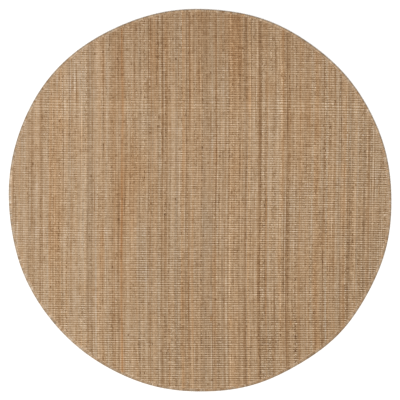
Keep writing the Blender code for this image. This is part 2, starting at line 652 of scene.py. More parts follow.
@dataclass(frozen=True)
class YarnFinish(TwistedFinish):
    """Twisted jute yarn, arched over the ribs. The points say how pale, warm and slubby each yarn is, and how
    much shade to paint into its grooves.
    """

    name: str = "woven_jute_yarn"
    strand_height: float = 0.00035
    jute: Jute = Jute(mean=(0.480, 0.339, 0.220))
    groove_painted_shade: float = 1.64
    fibre_width: float = 0.0007
    fibre_length: float = 0.011
    fibre_slope: float = 0.3
    nub_shade: float = 2.15
    nub_lean: float = 3.0
    nub_width: float = 0.0045
    nub_length: float = 0.0036
    nub_change: float = 3.7
    twist_lay: float = 0.0075

    def surface(self, nodes: FinishNodes) -> Surface:
        """Works out the yarns' twist, fibres and nubs, and the shade painted into the grooves between their
        arches.

        Args:
            nodes: the finish's nodes.

        Returns:
            The surface.
        """
        x, y, z = nodes.place()
        slanted = (x + y * self.fibre_slope) / self.fibre_width
        place = nodes.vector(slanted, y / self.fibre_length, z / self.fibre_width)
        shade, fibres, height = self.strand(nodes, place, y / self.twist_lay)
        own = nodes.kept("yarn") * self.nub_change
        nubs = nodes.noise(nodes.vector(x / self.nub_width, y / self.nub_length, own))
        slubs = nubs * (1.0 - nubs * self.nub_lean) * nodes.kept("slub") * self.nub_shade
        # painted shade: darkens the yarns in the grooves between the ribs
        depth = nodes.kept("dip") * self.groove_painted_shade
        colour = self.jute.colour(nodes, shade + slubs, nodes.kept("warmth"), depth)
        return Surface(colour, fibres, height)


@dataclass(frozen=True)
class BackFinish(Finish):
    """The flat back of the cloth, where the yarns lie side by side and the ribs hardly show, with shade
    painted between the yarns and between the ribs.
    """

    name: str = "jute_cloth_back"
    strand_height: float = 0.0006
    # darker than the yarns: partly the back's own tone, partly painted shade where the core shows through
    # between the yarns
    jute: Jute = Jute(mean=(0.36, 0.232, 0.135))
    yarn_width: float = 0.0062
    rib_pitch: float = 0.0118
    yarn_shade: float = 0.30
    drift_shade: float = 0.8
    drift_warmth: float = 0.3
    drift_length: float = 0.11
    drift_detail: float = 1.0
    shade_change: float = 0.37
    warmth_change: float = 0.61
    warmth_layer: float = 5.0
    crease_painted_shade: float = -0.5
    # painted shade: darker between the back's ribs, lighter on their crests
    rib_shade: float = 0.22
    fibre_shade: float = 0.8
    fibre_width: float = 0.0008
    fibre_length: float = 0.010
    yarn_height: float = 0.5
    rib_height: float = 0.2
    fibre_height: float = 0.4

    def surface(self, nodes: FinishNodes) -> Surface:
        """Works out the yarns, the ribs and the fibres of the back, with shade painted between the yarns and
        between the ribs.

        Args:
            nodes: the finish's nodes.

        Returns:
            The surface.
        """
        x, y, z = nodes.place()
        column = x / self.yarn_width
        yarn = nodes.math("FLOOR", column)
        across = nodes.centred(nodes.math("FRACT", column))
        ribs = nodes.math("COSINE", y / self.rib_pitch * FULL_TURN)
        place = nodes.vector(x / self.fibre_width, y / self.fibre_length, z / self.fibre_width)
        fibres = nodes.noise(place, self.fibre_detail)
        along = y / self.drift_length
        drift = nodes.noise(nodes.vector(yarn * self.shade_change, along), self.drift_detail)
        warmth = nodes.noise(nodes.vector(yarn * self.warmth_change, along, self.warmth_layer))
        # painted shade: the rib and crease terms darken the back between its ribs and between its yarns
        shade = (
            nodes.chance(nodes.vector(yarn)) * self.yarn_shade
            + drift * self.drift_shade
            + ribs * self.rib_shade
            + across * across * self.crease_painted_shade
            + fibres * self.fibre_shade
        )
        colour = self.jute.colour(nodes, shade, warmth * self.drift_warmth)
        arch = (1.0 - across * across) * self.yarn_height
        return Surface(colour, fibres, arch + ribs * self.rib_height + fibres * self.fibre_height)


@dataclass(frozen=True)
class StitchFinish(TwistedFinish):
    """The yarn of the overcast edge: pale on the rug's face, with shade painted in, darker and greyer, where
    it turns over the rim.
    """

    name: str = "overcast_jute_yarn"
    strand_height: float = 0.0003
    jute: Jute = Jute(mean=(0.468, 0.323, 0.197))
    # painted shade: how much darker and greyer the stitch is painted where it turns over the rim, away from
    # the light
    rim_painted_shade: float = -0.66
    rim_painted_shade_warmth: float = -0.19
    crease_painted_shade: float = -0.45
    fibre_size: float = 0.0008
    twist_turns: float = 9.0

    def surface(self, nodes: FinishNodes) -> Surface:
        """Works out the twist and the fibres of the stitches, and the shade painted on them where they turn
        over the rim.

        Args:
            nodes: the finish's nodes.

        Returns:
            The surface.
        """
        place = nodes.vector(*(part / self.fibre_size for part in nodes.place()))
        shade, fibres, height = self.strand(nodes, place, nodes.kept("along") * self.twist_turns)
        # painted shade: 1 where the stitch turns over the rim, 0 on the rug's face
        rim = nodes.kept("rim")
        warmth = nodes.kept("warmth") + rim * self.rim_painted_shade_warmth
        colour = self.jute.colour(nodes, shade + rim * self.rim_painted_shade, warmth)
        return Surface(colour, fibres, height)


def put_in(name: str, data: bpy.types.ID) -> bpy.types.Object:
    """Puts something into the scene.

    Args:
        name: its name.
        data: its mesh, camera or lamp.

    Returns:
        Its object.
    """
    thing = bpy.data.objects.new(name, data)
    bpy.context.scene.collection.objects.link(thing)
    return thing


def store(mesh: bpy.types.Mesh, name: str, values: np.ndarray) -> None:
    """Stores a number on each of a mesh's points under a name, over what is stored there already."""
    attribute = mesh.attributes.get(name) or mesh.attributes.new(name, "FLOAT", "POINT")
    attribute.data.foreach_set("value", np.ascontiguousarray(values, dtype=np.float32))


def stored(mesh: bpy.types.Mesh, name: str) -> np.ndarray:
    """Reads a number that is stored on each of a mesh's points.

    Args:
        mesh: the mesh.
        name: the number's name.

    Returns:
        One number for each point.
    """
    values = np.empty(len(mesh.vertices), dtype=np.float32)
    mesh.attributes[name].data.foreach_get("value", values)
    return values


@dataclass(frozen=True)
class Drift:
    """Random changes along yarns or ribs: how far apart they are, how large, and how many lines share them.

    A sudden change is a step. With a lean, strong changes go mostly down, or up where the lean is above zero.
    """

    length: float
    spread: float
    batch: int = 1
    sudden: bool = False
    lean: float = 0.0


@dataclass(frozen=True)
class YarnDyeAndGrooveShade:
    """How pale, warm and slubby the yarns are, and how strong the shade painted into their grooves is, by yarn
    and rib.
    """

    shade: np.ndarray
    warmth: np.ndarray
    depth: np.ndarray
    slub: np.ndarray


@dataclass
class YarnTones:
    """Works out each yarn's dye at each rib: its drifts, stains and flecks, and the placed streaks; and how
    strong the shade painted into each groove is.
    """

    places: np.ndarray
    widths: np.ndarray
    weave: Weave
    seed: int = 68
    yarn_drifts: tuple[Drift, ...] = (
        Drift(length=8.00, spread=0.197, lean=-1.6),
        Drift(length=0.90, spread=0.171, lean=-1.6),
        Drift(length=0.35, spread=0.125, sudden=True, lean=-1.6),
        Drift(length=0.12, spread=0.091, sudden=True, lean=-1.2),
        Drift(length=0.04, spread=0.06, sudden=True),
    )
    warmth_drifts: tuple[Drift, ...] = (
        Drift(length=8.00, spread=0.022),
        Drift(length=4.00, spread=0.032, batch=3, lean=1.2),
        Drift(length=0.30, spread=0.020),
        Drift(length=0.25, spread=0.006, batch=4, lean=1.2),
        Drift(length=0.08, spread=0.006, batch=3, sudden=True),
    )
    stain_drifts: tuple[Drift, ...] = (
        Drift(length=0.25, spread=0.020, batch=7, lean=1.2),
        Drift(length=0.08, spread=0.014, batch=4, lean=1.2),
    )
    stain_shade: float = -2.8
    dark_lean: float = 0.18
    rib_drifts: tuple[Drift, ...] = (Drift(length=0.014, spread=0.13, lean=-0.8),)
    # painted shade: random changes along the ribs in how strong the groove shade is
    groove_shade_drifts: tuple[Drift, ...] = (
        Drift(length=0.014, spread=0.25),
        Drift(length=0.050, spread=0.18, batch=5),
        Drift(length=0.200, spread=0.12, batch=12),
    )
    slub_drifts: tuple[Drift, ...] = (
        Drift(length=8.00, spread=0.34),
        Drift(length=0.30, spread=0.25, batch=2),
        Drift(length=0.10, spread=0.25, sudden=True),
    )
    crossing_spread: float = 0.09
    evenings: tuple[tuple[int, float], ...] = ((30, 1.0), (3, 0.5))
    shade_trends: tuple[Trend, ...] = (
        Trend(0.03, east_power=1),
        Trend(0.08, east_power=3),
        Trend(-0.03, north_power=1),
        Trend(-0.20, north_power=2),
        Trend(-0.26, north_power=3),
        Trend(0.10, east_power=1, north_power=1),
        Trend(-0.24, east_power=1, north_power=2),
    )
    livelier_east: float = 0.20
    loose_shade: float = 0.10
    fleck_share: float = 0.004
    fleck_shade: float = -0.9
    streak_fade: float = 0.02
    streak_cover: float = 0.7
    broad_width: float = 0.05
    streak_waver: float = 0.35
    streak_knots: int = 14
    weakest_streak: float = 0.3
    strongest_pale: float = 1.25
    strongest_dark: float = 1.9
    shortest_step: float = 0.5
    longest_step: float = 1.5
    spare_knots: int = 4
    crests: np.ndarray = field(init=False)

    def make(self) -> YarnDyeAndGrooveShade:
        """Dyes the yarns and sets the strength of the shade painted into their grooves.

        Returns:
            Their dye and groove shade.
        """
        self.crests = self.weave.crests()
        random = np.random.default_rng(self.seed)
        lively = np.exp(self.livelier_east * self.places)[:, None]
        shade = self.evened(self.along_yarns(random, self.yarn_drifts)) * lively
        rib_shade = self.along_ribs(random, self.rib_drifts)
        warmth = self.along_yarns(random, self.warmth_drifts)
        # painted shade: how strong the shade painted into each groove is
        depth = 1.0 + self.along_ribs(random, self.groove_shade_drifts)
        slub = np.exp(self.along_yarns(random, self.slub_drifts)) * lively
        self.lay_streaks(random, shade, warmth)
        shade += rib_shade + self.broad_shade()
        shade += random.normal(0.0, self.crossing_spread, shade.shape) * slub
        shade += self.fleck_shade * (random.random(shade.shape) < self.fleck_share)
        stain = self.along_yarns(random, self.stain_drifts)
        shade += stain * self.stain_shade
        shade += self.dark_lean * (shade.var() - shade**2)
        warmth += stain
        return YarnDyeAndGrooveShade(shade, warmth, depth, slub)

    def broad_shade(self) -> np.ndarray:
        """The rug's slow change of shade from side to side and from end to end.

        Returns:
            One number for each yarn and rib.
        """
        count = np.arange(len(self.crests)) - self.weave.half_count - self.weave.loose_start
        loose = (count >= 0) & (count < self.weave.loose_count)
        trend = total_trend(self.shade_trends, self.places[:, None], self.crests[None, :])
        return trend + self.loose_shade * loose

    def evened(self, shades: np.ndarray) -> np.ndarray:
        """Takes out what many yarns side by side have in common, as a dyer does by mixing the bales.

        Args:
            shades: the shades, by yarn and rib.

        Returns:
            The evened shades.
        """
        for yarns, share in self.evenings:
            window = np.ones(yarns) / yarns
            common = np.apply_along_axis(np.convolve, 0, shades, window, mode="same")
            shades = shades - share * common
        return shades

    def along_yarns(self, random: np.random.Generator, kinds: Sequence[Drift]) -> np.ndarray:
        """Random changes along each yarn, by yarn and rib."""
        return self.wander(random, len(self.places), self.crests, kinds)

    def along_ribs(self, random: np.random.Generator, kinds: Sequence[Drift]) -> np.ndarray:
        """Random changes along each rib, by yarn and rib."""
        return self.wander(random, len(self.crests), self.places, kinds).T

    def wander(
        self, random: np.random.Generator, lines: int, reach: np.ndarray, kinds: Sequence[Drift]
    ) -> np.ndarray:
        """Random changes along lines that lie side by side.

        Args:
            random: the source of chance.
            lines: how many lines there are.
            reach: where along the lines the changes are wanted.
            kinds: the kinds of change, which are added up.

        Returns:
            One row for each line, with a number for each place.
        """
        total = np.zeros((lines, len(reach)))
        for kind in kinds:
            knots = int((reach[-1] - reach[0]) / (kind.length * self.shortest_step)) + self.spare_knots
            shared = np.cumsum(random.random(lines) < 1.0 / kind.batch)
            for batch in range(shared[-1] + 1):
                steps = kind.length * random.uniform(self.shortest_step, self.longest_step, knots)
                places = reach[0] + np.cumsum(steps) - steps[0] * (1.0 + random.random())
                levels = self.chances(random, kind, knots + 1)
                if kind.sudden:
                    drawn = levels[np.searchsorted(places, reach)]
                else:
                    drawn = np.interp(reach, places, levels[:-1])
                total[shared == batch] += drawn
        return total

    def chances(self, random: np.random.Generator, kind: Drift, count: int) -> np.ndarray:
        """Random numbers about zero of one kind of change.

        Args:
            random: the source of chance.
            kind: the kind of change.
            count: how many numbers.

        Returns:
            The numbers.
        """
        if not kind.lean:
            return random.normal(0.0, kind.spread, count)
        shape = SKEW_SHAPE / kind.lean**2
        leaning = (random.gamma(shape, size=count) - shape) / math.sqrt(shape)
        return math.copysign(kind.spread, kind.lean) * leaning

    def faded(self, inside: np.ndarray) -> np.ndarray:
        """How much of a streak shows that far inside its end, where half of it does."""
        return np.clip(inside / self.streak_fade + 1 / 2, 0.0, 1.0)

    def lay_streaks(self, random: np.random.Generator, shade: np.ndarray, warmth: np.ndarray) -> None:
        """Adds the streaks that stand out.

        Args:
            random: the source of chance.
            shade: the shades, which it changes.
            warmth: the warmths, which it changes.
        """
        knots = np.linspace(self.crests[0], self.crests[-1], self.streak_knots)
        for streak in STREAKS:
            paler, warmer = streak.tone.value
            strongest = self.strongest_pale if paler > 0.0 else self.strongest_dark
            apart = np.abs(self.places - streak.place)
            cover = np.clip(((self.widths + streak.width) / 2 - apart) / self.widths, 0.0, 1.0)
            length = self.faded(self.crests - streak.south) * self.faded(streak.north - self.crests)
            for yarn in np.nonzero(cover)[0]:
                waver = random.normal(1.0, self.streak_waver, self.streak_knots)
                level = np.clip(np.interp(self.crests, knots, waver), self.weakest_streak, strongest)
                share = length * cover[yarn]
                hidden = self.streak_cover * share * (streak.width < self.broad_width)
                for tones, change in ((shade, paler), (warmth, warmer)):
                    tones[yarn] += change * level * share * streak.strength - hidden * tones[yarn]


@dataclass
class WovenYarns:
    """The jute yarns, side by side, each arched over all the ribs."""

    outline: Outline
    weave: Weave
    inset: float = 0.0130
    grip: float = 0.008
    east_groove_shade: float = 0.18
    south_groove_shade: float = 0.32
    slub_groove_shade: float = 0.6
    deepest_slub: float = 1.5
    yarn_width: float = 0.0062
    width_spread: float = 0.22
    overlap: float = 1.13
    rounding: float = 0.0013
    groove_pinch: float = 0.11
    crossing_bulge: float = 0.10
    rib_waver: float = 0.35
    rib_waver_change: float = 2.0
    rib_waver_pace: float = 0.018
    yarn_waver: float = 0.12
    yarn_waver_change: float = 3.7
    yarn_waver_pace: float = 0.35
    gripped_drop: float = 0.35
    end_margin: float = 0.001
    end_height: float = 0.0048
    strips: int = 5
    points_across: int = 3
    rows_per_rib: int = 4
    shoulder_shift: float = 0.05
    rib_margin: float = 0.001
    mean_groove_shade_weight: float = 0.33
    seed: int = 5
    places: np.ndarray = field(init=False)
    widths: np.ndarray = field(init=False)

    def __post_init__(self) -> None:
        """Lays the yarns side by side across the rug."""
        random = np.random.default_rng(self.seed)
        reach = self.outline.diameter / 2
        count = int(round(2 * reach / self.yarn_width))
        widths = self.yarn_width * np.exp(random.normal(0.0, self.width_spread, count))
        self.widths = widths * 2 * reach / widths.sum()
        self.places = np.cumsum(self.widths) - self.widths / 2 - reach

    def make(self) -> list[bpy.types.Object]:
        """Weaves the strips of cloth, from west to east.

        Returns:
            The strips.
        """
        tree = self.tree()
        dye = YarnTones(self.places, self.widths, self.weave).make()
        pieces = []
        for number, yarns in enumerate(self.strip_yarns(), start=1):
            piece = self.weave_strip(f"woven_yarns_{number}", tree, yarns)
            self.dye(piece.data, dye)
            self.spread_map(piece.data)
            pieces.append(piece)
        return pieces

    def strip_yarns(self) -> list[np.ndarray]:
        """Shares the yarns out between strips of about the same area.

        Returns:
            The numbers of each strip's yarns.
        """
        reach = self.outline.diameter / 2
        chords = np.sqrt(np.maximum(reach**2 - self.places**2, 0.0)) * self.widths
        share = np.cumsum(chords) / chords.sum()
        strip = np.minimum((share * self.strips).astype(int), self.strips - 1)
        return [np.nonzero(strip == number)[0] for number in range(self.strips)]

    def weave_strip(self, name: str, tree: ShapeNodes, yarns: np.ndarray) -> bpy.types.Object:
        """Weaves one strip.

        Args:
            name: the strip's name.
            tree: the nodes that weave it.
            yarns: the numbers of its yarns.

        Returns:
            The strip, as a plain mesh.
        """
        mesh = bpy.data.meshes.new(name)
        mesh.from_pydata([(x, 0.0, 0.0) for x in self.places[yarns]], [], [])
        store(mesh, "yarn", yarns)
        store(mesh, "yarn_place", self.places[yarns])
        store(mesh, "yarn_width", self.widths[yarns] * self.overlap)
        piece = put_in(name, mesh)
        tree.run(piece)
        return piece

    def tree(self) -> ShapeNodes:
        """The nodes that turn one point for each yarn into a strip of woven yarns.

        Returns:
            The tree.
        """
        nodes = ShapeNodes(bpy.data.node_groups.new("woven_yarns", "GeometryNodeTree"))
        strip = self.yarn_strip(nodes, nodes.named("Ribs", self.weave.ribs()))
        laid = nodes.step("InstanceOnPoints", nodes.taken(), Instance=strip)
        flat = self.lay_flat(nodes, nodes.step("RealizeInstances", laid))
        woven = self.arch_over_ribs(nodes, self.cut_to_outline(nodes, flat))
        nodes.finish(woven, YarnFinish().make())
        return nodes

    def yarn_strip(self, nodes: ShapeNodes, ribs: Term) -> bpy.types.NodeSocket:
        """One flat yarn that knows how far across and along each point is.

        Args:
            nodes: the tree.
            ribs: how many ribs it crosses.

        Returns:
            The socket that gives the yarn.
        """
        rows = ribs * self.rows_per_rib
        grid = nodes.add("GeometryNodeMeshGrid", Vertices_X=self.points_across, Vertices_Y=rows + 1)
        x, y, _ = nodes.place()
        turns = (y + GRID_REACH) * ribs
        shift = nodes.math("SINE", turns * FULL_TURN) * self.shoulder_shift
        named = nodes.keep(grid.outputs[0], "across", x / GRID_REACH)
        return nodes.keep(named, "along", turns - shift)

    def lay_flat(self, nodes: ShapeNodes, yarns: bpy.types.NodeSocket) -> bpy.types.NodeSocket:
        """Lays the yarns at their places, flat, with their swells and with the ribs' waver, and weights the
        shade painted into their grooves.

        Args:
            nodes: the tree.
            yarns: the socket that gives the yarns as they are first set side by side.

        Returns:
            The socket that gives the laid yarns.
        """
        along = nodes.kept("along")
        place = nodes.kept("yarn_place")
        yarn = nodes.kept("yarn")
        seed = nodes.named("Seed", self.seed)
        swing, arch = self.arch(nodes)
        crossing = nodes.vector(yarn, nodes.math("FLOOR", along), seed)
        bulge = nodes.chance(crossing) * nodes.named("Crossing Bulge", self.crossing_bulge)
        pinch = nodes.named("Groove Pinch", self.groove_pinch) * (1.0 - arch)
        width = nodes.kept("yarn_width") * (1.0 - pinch + bulge * arch)
        shared = nodes.vector(place * self.rib_waver_change, along * self.rib_waver_pace, seed)
        together = nodes.noise(shared) * nodes.named("Rib Waver", self.rib_waver)
        own = nodes.vector(yarn * self.yarn_waver_change, along * self.yarn_waver_pace, seed)
        alone = nodes.noise(own) * nodes.named("Yarn Waver", self.yarn_waver)
        gone = along - nodes.named("Loose Start", float(self.weave.half_count + self.weave.loose_start))
        loose = nodes.within(gone / nodes.named("Loose Count", float(self.weave.loose_count)), 0.0, 1.0)
        y = (
            nodes.named("First Groove", self.weave.first_groove())
            + (along + together + alone) * nodes.named("Rib Pitch", self.weave.pitch)
            + loose * nodes.named("Loose Gain", self.weave.loose_gain)
        )
        fan = y * nodes.named("Rib Fan", self.weave.fan)
        slant = (fan + nodes.named("Rib Skew", self.weave.skew)) * place
        x = place + nodes.kept("across") * width / 2 + total_trend(self.weave.yarn_sways, place, y)
        y = y + total_trend(self.weave.rib_sways, place, y) - slant
        laid = nodes.step("SetPosition", yarns, Position=nodes.vector(x, y))
        # painted shade: weight of the shade painted into the grooves, stronger to the east and the south
        east = place * nodes.named("East Depth", self.east_groove_shade)
        depth = east + 1.0 - y * nodes.named("South Depth", self.south_groove_shade)
        return nodes.keep(laid, "dip", swing * swing * depth)

    def arch(self, nodes: ShapeNodes) -> tuple[Term, Term]:
        """How far each point is from a crest, from -1 to 1 at the grooves, and how high the arch is there."""
        swing = nodes.centred(nodes.math("FRACT", nodes.kept("along")))
        return swing, nodes.math("SQRT", nodes.math("MAXIMUM", 1.0 - swing * swing, 0.0))

    def cut_to_outline(self, nodes: ShapeNodes, yarns: bpy.types.NodeSocket) -> bpy.types.NodeSocket:
        """Cuts the flat yarns off inside the overcast edge.

        Args:
            nodes: the tree.
            yarns: the socket that gives the flat yarns.

        Returns:
            The socket that gives the cut yarns, which know how free each point is of the edge's grip.
        """
        middle_x, middle_y = (float(part) for part in self.outline.middle())
        x, y, _ = nodes.place()
        from_x = x + middle_x
        from_y = y + middle_y
        distance = nodes.math("SQRT", from_x * from_x + from_y * from_y)
        angle = nodes.math("ARCTAN2", from_y, from_x)
        reach = self.outline.diameter / 2 - nodes.named("Inset", self.inset)
        for wave in self.outline.waves:
            turned = (angle - math.radians(wave.crest_deg)) * wave.lobes
            reach = reach + nodes.math("COSINE", turned) * wave.height
        scale = nodes.math("MINIMUM", reach / distance, 1.0)
        free = nodes.within((reach - distance) / nodes.named("Grip", self.grip), 0.0, 1.0)
        beyond = nodes.math("GREATER_THAN", distance, reach)
        cut_place = nodes.vector(from_x * scale - middle_x, from_y * scale - middle_y)
        marked = nodes.keep(yarns, "beyond", beyond, data_type="BOOLEAN")
        gripped = nodes.keep(marked, "free", free)
        moved = nodes.step("SetPosition", gripped, Position=cut_place)
        return nodes.step("DeleteGeometry", moved, Selection=nodes.kept("beyond", "BOOLEAN"), domain="FACE")

    def arch_over_ribs(self, nodes: ShapeNodes, yarns: bpy.types.NodeSocket) -> bpy.types.NodeSocket:
        """Arches the yarns over the ribs, less so where the edge grips them, and bends their cut ends down.
        The shade painted into the grooves fades where the edge grips them too.

        Args:
            nodes: the tree.
            yarns: the socket that gives the flat yarns.

        Returns:
            The socket that gives the arched yarns.
        """
        x, y, _ = nodes.place()
        across = nodes.kept("across")
        free = nodes.kept("free")
        _, arch = self.arch(nodes)
        drop = (1.0 - arch) * free + (1.0 - free) * self.gripped_drop
        height = (
            nodes.named("Top", self.weave.top)
            - drop * nodes.named("Rib Relief", self.weave.relief)
            - nodes.named("Rounding", self.rounding) * across * across
        )
        end = nodes.math("LESS_THAN", free, self.end_margin)
        z = height + (nodes.named("End Height", self.end_height) - height) * end
        arched = nodes.step("SetPosition", yarns, Position=nodes.vector(x, y, z))
        # painted shade: the groove shade fades out where the edge grips the yarns
        return nodes.keep(arched, "dip", nodes.kept("dip") * free)

    def dye(self, mesh: bpy.types.Mesh, dye: YarnDyeAndGrooveShade) -> None:
        """Gives each point its yarn's dye at its rib, and the strength of the shade painted into its groove.

        Args:
            mesh: the strip's mesh.
            dye: the yarns' dye and groove shade, in which a groove's painted shade goes with the rib north of
                it.
        """
        yarn = np.rint(stored(mesh, "yarn")).astype(int)
        along = stored(mesh, "along")
        rib = np.floor(along + self.rib_margin).astype(int)
        depth = dye.depth[yarn, np.rint(along).astype(int)]
        slub = dye.slub[yarn, rib]
        # painted shade: slubby crossings get more groove shade; the second term keeps the mean shade when its
        # strength changes
        rough = 1.0 + self.slub_groove_shade * (np.minimum(slub, self.deepest_slub) - 1.0)
        groove_shade_weights = stored(mesh, "dip") * depth * rough + (1.0 - depth) * self.mean_groove_shade_weight * stored(mesh, "free")
        store(mesh, "dip", groove_shade_weights)
        for name, tones in (("shade", dye.shade), ("warmth", dye.warmth), ("slub", dye.slub)):
            store(mesh, name, tones[yarn, rib])

    def spread_map(self, mesh: bpy.types.Mesh) -> None:
        """Spreads the strip over its map as it is seen from above.

        Args:
            mesh: the strip's mesh.
        """
        places = np.empty((len(mesh.vertices), AXES), dtype=np.float32)
        mesh.vertices.foreach_get("co", places.ravel())
        flat = places[:, :2]
        low = flat.min(axis=0)
        share = (flat - low) / (flat.max(axis=0) - low)
        corners = np.empty(len(mesh.loops), dtype=np.int32)
        mesh.loops.foreach_get("vertex_index", corners)
        layer = mesh.uv_layers.new(name="OFBake")
        layer.data.foreach_set("uv", share[corners].ravel())


@dataclass
class ClothCore:
    """The flat body of the cloth: its back, and the thin rim that the overcast edge holds."""

    outline: Outline
    field_inset: float = 0.0133
    rim_inset: float = 0.0041
    rim_bottom: float = 0.0022
    rim_top: float = 0.0050

    def make(self) -> bpy.types.Object:
        """Builds the core as one closed slab.

        Returns:
            The core.
        """
        rings = (
            (self.field_inset, 0.0),
            (self.field_inset, self.rim_bottom),
            (self.rim_inset, self.rim_bottom),
            (self.rim_inset, self.rim_top),
        )
        count = self.outline.corners
        points = []
        for inset, height in rings:
            points += [(x, y, height) for x, y in self.outline.inset(inset)]
        faces = [list(range(count))[::-1]]
        for ring in range(len(rings) - 1):
            for corner in range(count):
                after = (corner + 1) % count
                low, high = ring * count, (ring + 1) * count
                faces.append([low + corner, low + after, high + after, high + corner])
        faces.append([(len(rings) - 1) * count + corner for corner in range(count)])
        mesh = bpy.data.meshes.new("cloth_core")
        mesh.from_pydata(points, [], faces)
        mesh.materials.append(BackFinish().make())
        return put_in("cloth_core", mesh)


@dataclass
class OvercastEdge:
    """The jute yarn stitched over and under the cloth's rim, all the way round."""

    outline: Outline
    width: float = 0.0130
    height: float = 0.0082
    nose_depth: float = 0.0038
    bite: float = 0.0006
    bite_depth: float = 0.0020
    nose_steps: int = 7
    strand_pitch: float = 0.0045
    strand_overlap: float = 1.3
    strand_points: int = 4
    rounding: float = 0.0009
    slant: float = 0.0016
    shoulder_drop: float = 0.25
    shoulder_width: float = 0.87
    face_width: float = 0.60
    width_spread: float = 0.16
    turn_spread: float = 0.06
    shade_spread: float = 0.27
    group_spread: float = 0.25
    warmth_spread: float = 0.045
    group_stitches: int = 3
    trends: tuple[Trend, ...] = (
        Trend(-0.23, east_power=1),
        Trend(0.01, north_power=1),
        Trend(-0.36, north_power=2),
        Trend(0.20, east_power=1, north_power=1),
    )
    # painted shade over the rim: full within the first of these distances from the outline, none beyond the
    # second
    rim_shade_from: float = 0.0050
    rim_shade_to: float = 0.0110
    map_rows: int = 8
    map_margin: float = 0.01
    map_nudge: float = 0.0001
    seed: int = 3

    def stitches(self) -> int:
        """How many stitches go round the rug, as a whole number for each row of the map."""
        return self.map_rows * round(math.pi * self.outline.diameter / self.strand_pitch / self.map_rows)

    def section(self) -> list[tuple[float, float]]:
        """The way of one stitch: how far inside the outline it is, and how high.

        Returns:
            Its points, from the rug's face over the rim to the back.
        """
        middle = self.height / 2
        nose = []
        for step in range(self.nose_steps):
            turn = math.pi * (1 / 2 - step / (self.nose_steps - 1))
            nose.append((self.nose_depth * (1.0 - math.cos(turn)), middle * (1.0 + math.sin(turn))))
        face = [
            (self.width + self.bite, self.height - self.bite_depth),
            (self.width, self.height - self.shoulder_drop * self.bite_depth),
            (self.shoulder_width * self.width, self.height),
            (self.face_width * self.width, self.height),
        ]
        back = [(inward, self.height - up) for inward, up in reversed(face)]
        return face + nose + back

    def make(self) -> bpy.types.Object:
        """Stitches the edge.

        Returns:
            The edge, as a plain mesh.
        """
        stitch = put_in("one_stitch", self.stitch_mesh())
        mesh = bpy.data.meshes.new("overcast_stitches")
        corners = self.outline.inset(0.0)
        count = len(corners)
        lines = [(corner, (corner + 1) % count) for corner in range(count)]
        mesh.from_pydata([(x, y, 0.0) for x, y in corners], lines, [])
        piece = put_in("overcast_stitches", mesh)
        self.tree(stitch).run(piece)
        bpy.data.objects.remove(stitch)
        self.dye(piece.data)
        return piece

    def stitch_mesh(self) -> bpy.types.Mesh:
        """One stitch over the rim, with the rug inwards along +Y from it.

        Returns:
            Its mesh.
        """
        section = self.section()
        lengths = [math.dist(a, b) for a, b in zip(section, section[1:])]
        gone = np.concatenate([[0.0], np.cumsum(lengths)]) / sum(lengths)
        sides = np.linspace(-1.0, 1.0, self.strand_points)
        points = []
        for row, (inward, up) in enumerate(section):
            before = section[max(row - 1, 0)]
            after = section[min(row + 1, len(section) - 1)]
            way = Vector((after[0] - before[0], after[1] - before[1])).normalized()
            lean = self.slant * (1 / 2 - gone[row])
            for side in sides:
                sink = self.rounding * side * side
                x = side * self.strand_pitch * self.strand_overlap / 2 + lean
                points.append((x, inward - way.y * sink, up + way.x * sink))
        faces = []
        for row in range(len(section) - 1):
            for column in range(self.strand_points - 1):
                corner = row * self.strand_points + column
                above = corner + self.strand_points
                faces.append((above, above + 1, corner + 1, corner))
        mesh = bpy.data.meshes.new("one_stitch")
        mesh.from_pydata(points, [], faces)
        inwards = np.array([inward for inward, _ in section])
        # painted shade: how far each point of the stitch is turned over the rim, away from the light
        rim = np.clip((self.rim_shade_to - inwards) / (self.rim_shade_to - self.rim_shade_from), 0.0, 1.0)
        store(mesh, "across", np.tile(sides, len(section)))
        store(mesh, "along", np.repeat(gone, self.strand_points))
        store(mesh, "rim", np.repeat(rim, self.strand_points))
        return mesh

    def tree(self, stitch: bpy.types.Object) -> ShapeNodes:
        """The nodes that set stitches side by side round the outline.

        Args:
            stitch: one stitch.

        Returns:
            The tree.
        """
        nodes = ShapeNodes(bpy.data.node_groups.new("overcast_stitches", "GeometryNodeTree"))
        count = nodes.named("Stitches", self.stitches())
        seed = nodes.named("Seed", self.seed)
        line = nodes.step("MeshToCurve", nodes.taken())
        even = nodes.step("ResampleCurve", line, Count=count)
        index = Term(nodes, nodes.add("GeometryNodeInputIndex").outputs[0])
        numbered = nodes.keep(even, "stitch", index)
        way_x, way_y, _ = nodes.parts(nodes.add("GeometryNodeInputTangent").outputs[0])
        wobble = nodes.chance(nodes.vector(index, seed)) * nodes.named("Turn Spread", self.turn_spread)
        turn = nodes.math("ARCTAN2", way_y, way_x) + wobble
        wider = nodes.chance(nodes.vector(seed, index)) * nodes.named("Width Spread", self.width_spread) + 1.0
        source = nodes.add("GeometryNodeObjectInfo", Object=nodes.named("Stitch", stitch))
        set_round = nodes.step(
            "InstanceOnPoints",
            numbered,
            Instance=source.outputs["Geometry"],
            Rotation=nodes.vector(0.0, 0.0, turn),
            Scale=nodes.vector(wider, 1.0, 1.0),
        )
        stitched = nodes.step("RealizeInstances", set_round)
        nodes.finish(self.spread_map(nodes, stitched, count), StitchFinish().make())
        return nodes

